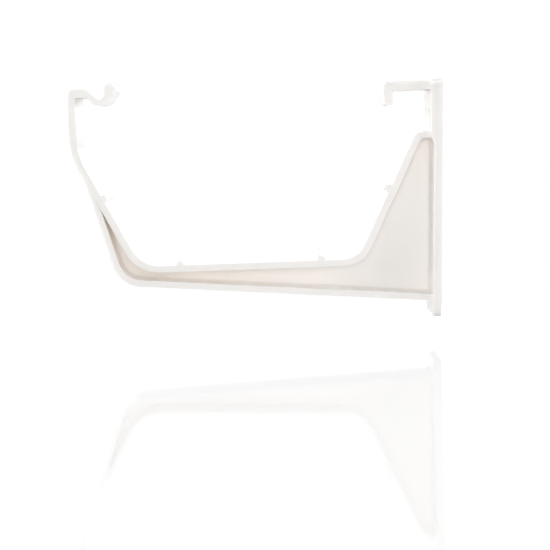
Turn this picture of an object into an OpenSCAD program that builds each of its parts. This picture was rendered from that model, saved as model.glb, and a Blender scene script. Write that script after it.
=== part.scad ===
// Fascia bracket for a trapezoidal rainwater gutter, one injection moulding in white uPVC.
// X = 0 is the wall face of the back plate and the cradle stands out towards -X.
// Y runs along the gutter and is 0 in the middle of the moulding, where the web lies. Z is up.
// Heights below are measured up from the foot of the back plate, and the whole moulding is
// lowered by half the plate at the end, so that Z = 0 is the middle of the wall face.

/* [Back plate] */
// Height of the back plate, foot to top
plate_height = 102.8; // [70:0.1:150]
// Width of the back plate along the gutter
plate_width = 34; // [26:1:70]
// Thickness of the back plate behind the web
plate_thickness = 3.8; // [2.5:0.1:6]
// Thickness of the pad that takes the screws, above the cradle
pad_thickness = 5.2; // [3:0.1:8]
// Radius of the four corners of the back plate
plate_corner = 4.8; // [1:0.1:8]
// Rounding of the two upright front edges of the back plate
plate_rounding = 0.5; // [0.3:0.1:1.5]
// Rounding of the two edges of the foot
foot_rounding = 0.9; // [0.3:0.1:1.5]

/* [Fixing screws] */
// Diameter of the screw holes
screw_hole = 5; // [3.5:0.1:6.5]
// Diameter of the countersinks
screw_head = 9.6; // [7:0.1:12]
// Distance between the two screws
screw_spacing = 18; // [14:1:50]
// Distance of the screws below the top of the plate
screw_drop = 17; // [12:0.1:22]

/* [Straps] */
// Width of both flanges, the arm and the hook along the gutter
strap_width = 30; // [20:1:60]
// Thickness of the cradle flange and the front arm
cradle_thickness = 3.1; // [2:0.1:5]
// Thickness of the outer flange
outer_thickness = 2.8; // [2:0.1:5]
// Thickness of the web between the flanges
web_thickness = 2.4; // [1.6:0.1:4]
// Rounding of the long moulded edges
edge_rounding = 0.25; // [0.15:0.05:1]
// Root radius between the web and what it joins
root_radius = 1.2; // [0.4:0.1:3]

/* [Cradle] */
// Distance from the wall face to the back corner of the gutter floor
floor_back = 36.1; // [20:0.1:60]
// Height of the back corner of the gutter floor
floor_height = 25.4; // [10:0.05:60]
// Length of the gutter floor between its two corners
floor_length = 93.7; // [60:0.1:150]
// Fall of the gutter floor towards the front, degrees
floor_fall = 2.1; // [0:0.1:6]
// Slope of the back wall, degrees from level
back_slope = 65.7; // [45:0.1:88]
// Slope of the front wall, degrees from level
front_slope = 60.4; // [45:0.1:88]
// Gutter-side radius of the back corner
back_radius = 10.6; // [4:0.1:20]
// Gutter-side radius of the front corner
front_radius = 14; // [4:0.1:20]
// Reach from the wall face to the front of the arm
reach = 161.1; // [120:0.1:220]
// Gutter-side radius where the front wall turns up into the arm
arm_radius = 36; // [10:1:50]
// Draft on the gutter side of the arm, which thickens downwards, degrees
arm_draft = 3.3; // [1:0.1:4]
// Distance from the top of the hook to where that draft begins
draft_drop = 7.5; // [5:0.1:12]

/* [Nose at the top of the back wall] */
// Radius of the nose
nose_radius = 3.8; // [2:0.1:6]
// Distance from the wall face to the centre of the nose
nose_back = 9.1; // [7:0.1:14]
// Distance of the centre of the nose below the top of the plate
nose_drop = 26.5; // [23:0.1:40]
// Thickness of the bar between the nose and the plate
nose_bar = 2.6; // [1.5:0.1:4]

/* [Outer flange] */
// Height of the underside of the outer flange where it meets the plate
foot_step = 7.25; // [3:0.05:20]
// Rise of the underside towards the front, degrees
under_rise = 2.7; // [0:0.1:6]
// Distance from the wall face to the lower front corner, before rounding
front_foot = 139.2; // [100:0.1:190]
// Slope of the front of the outer flange, degrees from level
outer_slope = 71.6; // [60:0.1:88]
// Outside radius of the lower front corner
outer_radius = 13; // [8:0.1:25]

/* [Front hook] */
// Height of the top of the hook bar
hook_height = 98.1; // [80:0.1:130]
// Thickness of the hook bar
hook_bar = 3.6; // [2.5:0.1:5]
// Length of the hook bar, from the front of the arm to where it bends
hook_length = 7.1; // [5:0.1:15]
// Outside radius of the top front corner
hook_corner = 2.1; // [1:0.1:3]
// Thickness of the spring tail
tail_thickness = 2.7; // [1.5:0.1:3]
// Dip of the spring tail, degrees below level
tail_dip = 43; // [20:1:60]
// Straight length of the dipping part
tail_length = 3.95; // [2:0.05:10]
// Upper radius of the valley of the tail
tail_radius = 2.4; // [1.5:0.1:5]
// Diameter of the bead on the end of the tail
bead_diameter = 5.1; // [3:0.1:8]

/* [Rear lip] */
// Distance of the lip's top below the top of the plate, where they meet
lip_drop = 0.5; // [0.2:0.1:5]
// Distance from the wall face to the front of the lip
lip_reach = 25.7; // [15:0.1:40]
// Width of the lip along the gutter
lip_width = 28; // [15:1:34]
// Thickness of the top of the lip
lip_thickness = 3.8; // [2:0.1:5]
// Thickness of the turned-down end
lip_end = 3.9; // [2:0.1:5]
// Depth of the turned-down end, from the top of the lip
lip_depth = 9.9; // [5:0.1:15]
// Fall of the lip towards the front, degrees
lip_fall = 2.4; // [0:0.1:6]
// Outside radius of the lip's corner
lip_corner = 1.8; // [1:0.1:3]
// Chamfer on the end of the lip
lip_chamfer = 1.1; // [0.3:0.1:2]

/* [Bearing pips] */
// Base of each pip along the strap
pip_base = 3.9; // [2:0.1:8]
// Flat top of each pip
pip_top = 1.8; // [0.5:0.1:5]
// Heights of the pips: front wall, floor front, floor back, back wall
pip_heights = [1.6, 1.9, 2.2, 2.5];
// Distance of the front wall pip from the front corner
pip_front = 33.4; // [15:0.1:50]
// Distance of the first floor pip from the front corner
pip_floor_1 = 16.7; // [14:0.1:40]
// Distance of the second floor pip from the front corner
pip_floor_2 = 77.8; // [50:0.1:90]
// Distance of the back wall pip from the back corner
pip_back = 33.2; // [15:0.1:50]

/* [Ejector mark] */
// Distance of the ejector mark from the wall face
ejector_reach = 8.9; // [6:0.1:30]
// Height of the ejector mark above the foot
ejector_height = 21.1; // [15:0.1:40]
// Diameter of the ejector mark on the web
ejector_diameter = 2.4; // [1:0.1:6]
// Depth of the ejector mark
ejector_depth = 0.3; // [0.1:0.05:0.6]

/* [Hidden] */
$fn = 120;
// How far a piece runs into its neighbour
overlap = 0.4;
// How far a straight runs into the bend next to it, and how much slimmer it is than the bend
lap = 0.25;
shyness = 0.02;
// What a section is drawn in by: nothing, except on a straight
$shy = 0;
// How far the joints of a web root lie past those of the flange it stands on
root_shift = 0.15;
// Heights of the screws, and of the centre of the nose
screw_height = plate_height - screw_drop;
nose_height = plate_height - nose_drop;
// Height of the top of the lip where it meets the plate
lip_top = plate_height - lip_drop;
// Gutter-side face of the arm
arm_face = cradle_thickness - reach;
// Bends of the gutter-side line, and the slopes that they give
arm_turn = 90 - front_slope;
front_turn = front_slope + floor_fall;
back_turn = back_slope - floor_fall;
arm_tangent = arm_radius * tan(arm_turn / 2);
front_tangent = front_radius * tan(front_turn / 2);
back_tangent = back_radius * tan(back_turn / 2);
// Corners of the gutter-side line, in X and Z
corner_back = [-floor_back, floor_height];
corner_front = corner_back - floor_length * along(floor_fall);
corner_arm = [arm_face, corner_front[1] + (corner_front[0] - arm_face) * tan(front_slope)];
arm_top = hook_height - hook_corner;
wall_length = norm(corner_arm - corner_front);
// Centre of the nose, and the end of the back wall abreast of it
nose_centre = [-nose_back, nose_height];
back_length = (nose_centre - corner_back) * along(back_slope);
back_end = corner_back + back_length * along(back_slope);
// How far the back wall's flange runs on into the nose
nose_run = 2;
nose_end = back_slope + 90 + acos(norm(nose_centre - back_end) / nose_radius);
// Where the web and its root start on the front wall, from the arm's corner
web_start = 18;
// Outside line of the outer flange
outer_foot = [-front_foot, foot_step + (front_foot - plate_thickness) * tan(under_rise)];
// How far from the wall face the straps that run into the plate stop
outer_end = 1.5;
// How far the outer flange runs up past the line where it leaves the front wall
outer_run = 2;
outer_turn = outer_slope - under_rise;
outer_tangent = outer_radius * tan(outer_turn / 2);
under_length = (front_foot - outer_end) / cos(under_rise);
// Where that line leaves the outside of the front wall
wall_outside = beside(corner_front, -front_slope, cradle_thickness);
wall_gap = cross(along(-outer_slope), wall_outside - outer_foot) / sin(outer_slope - front_slope);
outer_top = wall_outside - wall_gap * along(-front_slope);
outer_length = norm(outer_top - outer_foot);
// Direction and length of the end of the hook's tail, and the bead on it
neck_heading = 82;
neck_length = 2.2;
tail_turn = tail_dip + neck_heading;
tail_pivot = [hook_length - reach, hook_height - tail_thickness];
tail_low = tail_pivot + tail_thickness * along(90 - tail_dip) + tail_length * along(-tail_dip);
tail_centre = beside(tail_low, -tail_dip, -tail_radius);
neck_foot = beside(tail_centre, neck_heading, tail_radius) - lap * along(neck_heading);
neck_top = neck_foot + (neck_length + lap) * along(neck_heading);
bead_centre = neck_top + [bead_diameter / 2 - 0.7, -0.4];

// Unit vector at an angle above level, in X and Z
function along(a) = [cos(a), sin(a)];
// Point p moved by s to the right of heading a
function beside(p, a, s) = p + s * [sin(a), -cos(a)];
// Nine points of a left-hand bend at corner p, moved by s to the right
function bend_points(p, r, a, turn, s) =
    let (c = beside(p - r * tan(turn / 2) * along(a), a, -r))
    [for (k = [0 : 8]) beside(c, a + turn * k / 8, r + s)];

// Rounded rectangle from u to u + t, w wide, drawn in by $shy all round
module strap_section(u, t, w) {
    r = edge_rounding;
    c = r + $shy;
    translate([u + $shy, c - w / 2]) square([t - 2 * $shy, w - 2 * c]);
    translate([u + c, $shy - w / 2]) square([t - 2 * c, w - 2 * $shy]);
    for (x = [u + c, u + t - c], y = [c - w / 2, w / 2 - c])
        translate([x, y]) circle(r, $fn = 24);
}

// Root of the web on a face at u, growing to the side s
module root_section(u, s) {
    f = root_radius;
    h = web_thickness / 2 + f;
    difference() {
        translate([min(u - s * overlap, u + s * f), -h]) square([f + overlap, 2 * h]);
        for (y = [-h, h])
            translate([u + s * f, y]) circle(f + 0.05 + $shy, $fn = 48);
    }
}

// Children placed at p with z along heading a and x to its right
module facing(p, a) {
    translate([p[0], 0, p[1]])
        rotate([0, 90 - a, 0])
            children();
}

// Sweep of a section through steps of [straight length, left turn, bend radius]. Each straight
// runs into the bends beside it. More moves those joints clear of another sweep's joints.
module sweep(steps, more = 0, i = 0) {
    length = steps[i][0];
    turn = steps[i][1];
    r = steps[i][2];
    before = i > 0 ? lap + more : 0;
    after = turn > 0 ? lap + more : 0;
    extra = turn > 0 ? more / r * 180 / PI : 0;
    translate([0, 0, -before])
        linear_extrude(before + length + after)
            let ($shy = shyness)
                children();
    if (turn > 0)
        translate([-r, 0, length]) {
            rotate([90, 0, 0])
                rotate_extrude(angle = turn + 2 * extra, start = -extra)
                    translate([r, 0])
                        children();
            if (i + 1 < len(steps))
                rotate([0, -turn, 0])
                    translate([r, 0, 0])
                        sweep(steps, more, i + 1)
                            children();
        }
}

// Solid round of radius r about the origin, between two angles above +X
module sector(r, from, to, w) {
    e = edge_rounding;
    rotate([90, 0, 0])
        rotate_extrude(angle = to - from, start = from) {
            translate([0, -w / 2]) square([r - e, w]);
            translate([0, e - w / 2]) square([r, w - 2 * e]);
            for (y = [e - w / 2, w / 2 - e])
                translate([r - e, y]) circle(e, $fn = 24);
        }
}

// Flat outline in X and Z, carried w along Y
module slab(w) {
    translate([0, w / 2, 0])
        rotate([90, 0, 0])
            linear_extrude(w)
                children();
}

// Gutter-side flange: the arm, the front wall, the floor and the back wall
module cradle_flange() {
    last = [back_length - back_tangent + nose_run, 0, 0];
    floor_step = [floor_length - front_tangent - back_tangent, back_turn, back_radius];
    facing([arm_face, arm_top], -90)
        sweep([
            [arm_top - corner_arm[1] - arm_tangent, arm_turn, arm_radius],
            [wall_length - arm_tangent - front_tangent, front_turn, front_radius],
            floor_step, last
        ])
            strap_section(0, cradle_thickness, strap_width);
    facing(corner_arm + web_start * along(-front_slope), -front_slope)
        sweep([
            [wall_length - web_start - front_tangent, front_turn, front_radius],
            floor_step, last
        ], root_shift)
            root_section(cradle_thickness, 1);
}

// Draft on the gutter side of the arm, from below the hook down into the front wall
module arm_wedge() {
    start = hook_height - draft_drop;
    end = corner_arm[1] - 2;
    slab(strap_width - 0.1)
        polygon([
            [arm_face - overlap, start + overlap / tan(arm_draft)],
            [arm_face - overlap, end],
            [arm_face + (start - end) * tan(arm_draft), end]
        ]);
}

// Rounded nose at the top of the back wall, and the bar that ties it to the plate
module nose() {
    translate([nose_centre[0], 0, nose_centre[1]])
        sector(nose_radius, 90, nose_end, strap_width);
    facing(nose_centre + [-lap, nose_radius], 0)
        linear_extrude(nose_back - outer_end + lap)
            let ($shy = 2 * shyness) {
                strap_section(0, nose_bar, strap_width);
                root_section(nose_bar, 1);
            }
}

// Flange round the outside, from the front wall to the foot of the plate
module outer_flange() {
    under = [under_length - outer_tangent, 0, 0];
    facing(outer_top - outer_run * along(-outer_slope), -outer_slope)
        sweep([[outer_run + outer_length - outer_tangent, outer_turn, outer_radius], under])
            strap_section(-outer_thickness, outer_thickness, strap_width - 0.1);
    facing(outer_top + web_start * along(-outer_slope), -outer_slope)
        sweep([[outer_length - web_start - outer_tangent, outer_turn, outer_radius], under],
              root_shift)
            root_section(-outer_thickness, -1);
}

// Web in the middle of the moulding
module web() {
    inner = cradle_thickness / 2;
    outer = -outer_thickness / 2;
    top = nose_height + nose_radius - nose_bar / 2;
    front = bend_points(outer_foot, outer_radius, -outer_slope, outer_turn, outer);
    slab(web_thickness)
        polygon([
            beside(corner_arm + web_start * along(-front_slope), -front_slope, inner),
            each bend_points(corner_front, front_radius, -front_slope, front_turn, inner),
            each bend_points(corner_back, back_radius, floor_fall, back_turn, inner),
            beside(back_end, back_slope, inner),
            [-nose_back + 0.5, top],
            [-outer_end, top],
            [-outer_end, foot_step - outer],
            each [for (k = [8 : -1 : 0]) front[k]],
            beside(outer_top, -outer_slope, outer)
        ]);
    facing([-plate_thickness, foot_step], 90)
        linear_extrude(top - foot_step)
            root_section(0, -1);
}

// Plate outline seen from the front, carried through its thickness
module plate_outline(t) {
    r = plate_corner;
    translate([-t, 0, 0])
        rotate([90, 0, 90])
            linear_extrude(t) {
                translate([r - plate_width / 2, 0]) square([plate_width - 2 * r, plate_height]);
                translate([-plate_width / 2, r]) square([plate_width, plate_height - 2 * r]);
                for (y = [r - plate_width / 2, plate_width / 2 - r], z = [r, plate_height - r])
                    translate([y, z]) circle(r);
            }
}

// Plate seen from above, its two front edges rounded, carried up its height
module plate_column(t, z, h) {
    r = plate_rounding;
    translate([0, 0, z])
        linear_extrude(h) {
            translate([r - t, -plate_width / 2]) square([t - r, plate_width]);
            translate([-t, r - plate_width / 2]) square([t, plate_width - 2 * r]);
            for (y = [r - plate_width / 2, plate_width / 2 - r])
                translate([r - t, y]) circle(r, $fn = 32);
        }
}

// Back plate with the thicker screw pad above the cradle
module back_plate() {
    r = foot_rounding;
    pad_low = nose_height - 1;
    pad_full = nose_height + 2.1;
    difference() {
        union() {
            intersection() {
                plate_outline(plate_thickness);
                plate_column(plate_thickness, 0, plate_height);
                slab(plate_width) {
                    translate([-plate_thickness, r]) square([plate_thickness, plate_height]);
                    translate([r - plate_thickness, 0]) square([plate_thickness - 2 * r, 2]);
                    for (x = [r - plate_thickness, -r])
                        translate([x, r]) circle(r, $fn = 32);
                }
            }
            intersection() {
                plate_outline(pad_thickness);
                plate_column(pad_thickness, 0, plate_height);
                slab(plate_width)
                    polygon([
                        [-1, pad_low], [-plate_thickness, pad_low], [-pad_thickness, pad_full],
                        [-pad_thickness, plate_height], [-1, plate_height]
                    ]);
            }
        }
        for (y = [-screw_spacing / 2, screw_spacing / 2])
            translate([0, y, screw_height])
                rotate([0, -90, 0]) {
                    translate([0, 0, -1])
                        cylinder(h = pad_thickness + 2, d = screw_hole, $fn = 64);
                    translate([0, 0, pad_thickness - (screw_head - screw_hole) / 2])
                        cylinder(h = (screw_head - screw_hole) / 2 + 0.001, d1 = screw_hole,
                                 d2 = screw_head, $fn = 64);
                }
    }
}

// Lip over the back edge of the gutter, drawn level and then let fall to the front
module rear_lip() {
    length = lip_reach - plate_thickness;
    bend = lip_corner - length;
    difference() {
        translate([-plate_thickness, 0, lip_top])
            rotate([0, -lip_fall, 0]) {
                translate([bend - lap, 0, 0])
                    rotate([0, 90, 0])
                        linear_extrude(lap - bend)
                            let ($shy = 2 * shyness)
                                strap_section(0, lip_thickness, lip_width);
                translate([bend, 0, -lip_corner])
                    sector(lip_corner, 90, 180, lip_width);
                translate([-length, 0, -lip_depth])
                    linear_extrude(lip_depth - lip_corner + lap)
                        let ($shy = shyness)
                            strap_section(0, lip_end, lip_width);
            }
        translate([-lip_reach, 0, lip_top - lip_depth - length * sin(lip_fall)])
            rotate([0, 35, 0])
                cube([6 * lip_chamfer, lip_width + 2, 1.6 * lip_chamfer], center = true);
    }
}

// Spring hook over the front edge of the gutter
module front_hook() {
    bar = hook_length - hook_corner;
    corner = hook_bar - tail_thickness;
    translate([hook_corner - reach, 0, arm_top]) {
        sector(hook_corner, 90, 180, strap_width);
        translate([-lap, 0, hook_corner])
            rotate([0, 90, 0])
                linear_extrude(bar + 2 * lap)
                    let ($shy = 2 * shyness)
                        strap_section(0, hook_bar, strap_width);
        translate([bar, 0, hook_corner - tail_thickness]) {
            sector(tail_thickness, 90 - tail_dip, 90, strap_width);
            slab(strap_width - 2 * edge_rounding - overlap)
                polygon([
                    [-1, 0.3], [-1, -corner], [corner / tan(tail_dip) + 0.3, -corner], [0.5, 0.3]
                ]);
            rotate([0, tail_dip, 0])
                translate([-lap, 0, tail_thickness])
                    rotate([0, 90, 0])
                        sweep([[tail_length + lap, tail_turn, tail_radius]])
                            strap_section(0, tail_thickness, strap_width);
        }
    }
    facing(neck_foot, neck_heading)
        linear_extrude(neck_length + lap)
            let ($shy = shyness)
                strap_section(0, tail_thickness, strap_width);
    translate([bead_centre[0], 0, bead_centre[1]])
        sector(bead_diameter / 2, 0, 360, strap_width);
}

// One pip at p on the gutter side of a strap with heading a
module pip(p, a, h) {
    foot = pip_base / 2 + overlap * (pip_base - pip_top) / (2 * h);
    translate([p[0], 0, p[1]])
        rotate([0, -a, 0])
            slab(strap_width - 2 * edge_rounding - overlap)
                polygon([[-foot, -overlap], [foot, -overlap], [pip_top / 2, h], [-pip_top / 2, h]]);
}

// Four pips that the gutter bears on
module bearing_pips() {
    pip(corner_front - pip_front * along(-front_slope), -front_slope, pip_heights[0]);
    pip(corner_front + pip_floor_1 * along(floor_fall), floor_fall, pip_heights[1]);
    pip(corner_front + pip_floor_2 * along(floor_fall), floor_fall, pip_heights[2]);
    pip(corner_back + pip_back * along(back_slope), back_slope, pip_heights[3]);
}

module gutter_bracket() {
    color([0.95, 0.94, 0.92])
        translate([0, 0, -plate_height / 2])
            difference() {
                union() {
                    back_plate();
                    web();
                    cradle_flange();
                    arm_wedge();
                    nose();
                    outer_flange();
                    front_hook();
                    rear_lip();
                    bearing_pips();
                }
                translate([-ejector_reach, ejector_depth - web_thickness / 2, ejector_height])
                    rotate([90, 0, 0])
                        cylinder(h = 2, d = ejector_diameter, $fn = 32);
            }
}

gutter_bracket();
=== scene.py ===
import math

import bpy
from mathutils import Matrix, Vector

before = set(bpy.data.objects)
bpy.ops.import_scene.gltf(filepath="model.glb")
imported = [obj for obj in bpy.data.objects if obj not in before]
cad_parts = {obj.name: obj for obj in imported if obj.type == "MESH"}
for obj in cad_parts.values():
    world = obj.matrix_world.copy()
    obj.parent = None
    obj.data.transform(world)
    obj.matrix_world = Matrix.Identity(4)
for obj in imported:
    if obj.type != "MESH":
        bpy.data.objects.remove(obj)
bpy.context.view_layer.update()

# lengths are in metres, angles in degrees
CENTRE = Vector((-0.08, 0, 0))
UPVC_TINTS = ((251, 248, 245), (253, 251, 248))
UPVC_ROUGHNESS = (0.32, 0.42)
FLOOR_SIZE = 60
FLOOR_Z = -0.0617
FLOOR_TILT = -0.9
FLOOR_SHADOW = 0.1
FLOOR_SHINE = 0.2
SOFT_WORLD = 0.18
NEUTRAL = (1, 1, 1)
WARM = (1.0, 0.96, 0.92)
CAMERA_PITCH = 3.62

scene = bpy.context.scene
scene.view_settings.view_transform = "Standard"
# white recesses are lit mostly by light that bounces between their walls
scene.cycles.max_bounces = 32
scene.cycles.diffuse_bounces = 24
scene.cycles.glossy_bounces = 8


# ---------------------------------------------------------------- node helpers
def new_material(name):
    mat = bpy.data.materials.new(name)
    mat.use_nodes = True
    tree = mat.node_tree
    tree.nodes.clear()
    return mat, tree


def node(tree, kind, **values):
    n = tree.nodes.new(kind)
    for key, value in values.items():
        if hasattr(n, key):
            setattr(n, key, value)
        else:
            n.inputs[key.replace("_", " ")].default_value = value
    return n


def wire(tree, a, out, b, into):
    tree.links.new(a.outputs[out], b.inputs[into])


def linear(rgb):
    """Linear colour from 0-255 sRGB."""
    out = []
    for v in rgb:
        v /= 255
        out.append(v / 12.92 if v <= 0.04045 else ((v + 0.055) / 1.055) ** 2.4)
    return (*out, 1.0)


def fade(tree, distance, start, end, amount, shape="LINEAR"):
    """Value that falls from amount to 0 as the distance goes from start to end."""
    span = node(tree, "ShaderNodeMapRange", interpolation_type=shape)
    span.inputs["From Min"].default_value = start
    span.inputs["From Max"].default_value = end
    span.inputs["To Min"].default_value = amount
    span.inputs["To Max"].default_value = 0.0
    wire(tree, distance, "Value", span, "Value")
    return span


def camera_or_glossy(tree):
    """1 for rays from the camera and for mirrored rays, 0 for the rays that light the object."""
    path = node(tree, "ShaderNodeLightPath")
    either = node(tree, "ShaderNodeMath", operation="MAXIMUM")
    wire(tree, path, "Is Camera Ray", either, 0)
    wire(tree, path, "Is Glossy Ray", either, 1)
    return either


# ---------------------------------------------------------------- white uPVC
def upvc():
    mat, t = new_material("upvc_white")
    out = node(t, "ShaderNodeOutputMaterial")
    bsdf = node(t, "ShaderNodeBsdfPrincipled")
    wire(t, bsdf, "BSDF", out, "Surface")
    geo = node(t, "ShaderNodeNewGeometry")

    # faint flow lines and tint differences of the moulding
    stretch = node(t, "ShaderNodeMapping", vector_type="POINT")
    stretch.inputs["Scale"].default_value = (18, 40, 18)
    wire(t, geo, "Position", stretch, "Vector")
    flow = node(t, "ShaderNodeTexNoise", Scale=1.0, Detail=3.0, Roughness=0.55)
    wire(t, stretch, "Vector", flow, "Vector")
    tint = node(t, "ShaderNodeValToRGB")
    for stop, place, colour in zip(tint.color_ramp.elements, (0.32, 0.68), UPVC_TINTS):
        stop.position = place
        stop.color = linear(colour)
    wire(t, flow, "Fac", tint, "Fac")
    wire(t, tint, "Color", bsdf, "Base Color")

    # satin skin: gloss wanders a little, with a fine orange-peel bump
    gloss = node(t, "ShaderNodeTexNoise", Scale=160.0, Detail=4.0, Roughness=0.6)
    wire(t, geo, "Position", gloss, "Vector")
    rough = node(t, "ShaderNodeMapRange")
    rough.inputs["To Min"].default_value, rough.inputs["To Max"].default_value = UPVC_ROUGHNESS
    wire(t, gloss, "Fac", rough, "Value")
    wire(t, rough, "Result", bsdf, "Roughness")
    peel = node(t, "ShaderNodeTexNoise", Scale=900.0, Detail=2.0, Roughness=0.5)
    wire(t, geo, "Position", peel, "Vector")
    bump = node(t, "ShaderNodeBump", Strength=0.06, Distance=0.0002)
    wire(t, peel, "Fac", bump, "Height")
    wire(t, bump, "Normal", bsdf, "Normal")
    bsdf.inputs["IOR"].default_value = 1.53

    # light sinks about a millimetre into the white plastic, which softens corners and recesses
    bsdf.subsurface_method = "RANDOM_WALK"
    bsdf.inputs["Subsurface Weight"].default_value = 1.0
    bsdf.inputs["Subsurface Radius"].default_value = (1.0, 1.0, 1.0)
    bsdf.inputs["Subsurface Scale"].default_value = 0.001
    return mat


body = upvc()
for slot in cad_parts["gutter_bracket"].material_slots:
    slot.material = body


# ---------------------------------------------------------------- stage
def floor_material():
    mat, t = new_material("floor_white")
    out = node(t, "ShaderNodeOutputMaterial")
    diffuse = node(t, "ShaderNodeBsdfDiffuse", Color=(0.8, 0.8, 0.8, 1))
    glow = node(t, "ShaderNodeEmission", Color=(1, 1, 1, 1), Strength=1.0)
    mirror = node(t, "ShaderNodeBsdfGlossy", Color=(1, 1, 1, 1), Roughness=0.05)
    place = node(t, "ShaderNodeNewGeometry")
    distance = node(t, "ShaderNodeVectorMath", operation="LENGTH")
    wire(t, place, "Position", distance, 0)

    # the floor takes the object's shadow near it and runs out to plain white further off
    shadow = fade(t, distance, 0.08, 0.25, FLOOR_SHADOW, "SMOOTHSTEP")
    shadowed = node(t, "ShaderNodeMixShader")
    wire(t, shadow, "Result", shadowed, "Fac")
    wire(t, glow, "Emission", shadowed, 1)
    wire(t, diffuse, "BSDF", shadowed, 2)

    # and it mirrors the object faintly
    shine = fade(t, distance, 0.5, 1.5, FLOOR_SHINE)
    polished = node(t, "ShaderNodeMixShader")
    wire(t, shine, "Result", polished, "Fac")
    wire(t, shadowed, "Shader", polished, 1)
    wire(t, mirror, "BSDF", polished, 2)

    pick = node(t, "ShaderNodeMixShader")
    wire(t, camera_or_glossy(t), "Value", pick, "Fac")
    wire(t, diffuse, "BSDF", pick, 1)
    wire(t, polished, "Shader", pick, 2)
    wire(t, pick, "Shader", out, "Surface")
    return mat


bpy.ops.mesh.primitive_plane_add(size=FLOOR_SIZE, location=(CENTRE.x, 0, FLOOR_Z))
floor = bpy.context.object
floor.name = "floor"
floor.rotation_euler = (0, math.radians(FLOOR_TILT), 0)
floor.data.materials.append(floor_material())


# ---------------------------------------------------------------- light
def studio_world():
    """White to the camera and in mirrored rays, and a soft fill for everything else."""
    world = bpy.data.worlds.new("studio")
    world.use_nodes = True
    t = world.node_tree
    t.nodes.clear()
    out = node(t, "ShaderNodeOutputWorld")
    white = node(t, "ShaderNodeBackground", Color=(1, 1, 1, 1), Strength=1.0)
    soft = node(t, "ShaderNodeBackground", Color=(1, 1, 1, 1), Strength=SOFT_WORLD)
    pick = node(t, "ShaderNodeMixShader")
    wire(t, camera_or_glossy(t), "Value", pick, "Fac")
    wire(t, soft, "Background", pick, 1)
    wire(t, white, "Background", pick, 2)
    wire(t, pick, "Shader", out, "Surface")
    return world


def lamp(name, azimuth, height, distance, size, power, colour=NEUTRAL):
    """Area lamp that faces the object. Azimuth 0 is the camera's side, and 90 the wall's."""
    data = bpy.data.lights.new(name, "AREA")
    data.shape = "RECTANGLE"
    data.size, data.size_y = size
    data.energy = power
    data.color = colour
    around, up = math.radians(azimuth), math.radians(height)
    level = math.cos(up)
    away = Vector((math.sin(around) * level, -math.cos(around) * level, math.sin(up)))
    lamp_object = bpy.data.objects.new(name, data)
    lamp_object.location = CENTRE + distance * away
    lamp_object.rotation_euler = away.to_track_quat("Z", "Y").to_euler()
    lamp_object.visible_camera = False
    scene.collection.objects.link(lamp_object)


scene.world = studio_world()
lamp("front", 0, 6, 1.5, (0.45, 0.45), 5.5, WARM)
lamp("front_left", -62, 10, 1.2, (0.5, 0.5), 1.8, WARM)
lamp("front_right", 65, 8, 1.2, (0.5, 0.5), 2.9, WARM)
lamp("left_side", -90, 5, 1.2, (0.6, 0.5), 8.0)
lamp("right_side", 92, 5, 1.2, (0.6, 0.5), 7.0)
lamp("overhead_front", 0, 48, 1.1, (0.6, 0.6), 0.7, WARM)
lamp("overhead", 180, 84, 1.1, (0.6, 0.5), 4.5)
lamp("back", 180, 15, 1.5, (2.0, 0.6), 9.5)

# ---------------------------------------------------------------- camera
cam_data = bpy.data.cameras.new("camera")
cam_data.lens = 106.6
cam_data.sensor_width = 36
cam_data.shift_x = -0.007
cam_data.shift_y = -0.08
camera = bpy.data.objects.new("camera", cam_data)
scene.collection.objects.link(camera)
camera.location = (-0.0704, -0.716, 0.0303)
camera.rotation_euler = (math.radians(90 - CAMERA_PITCH), 0, 0)
scene.camera = camera
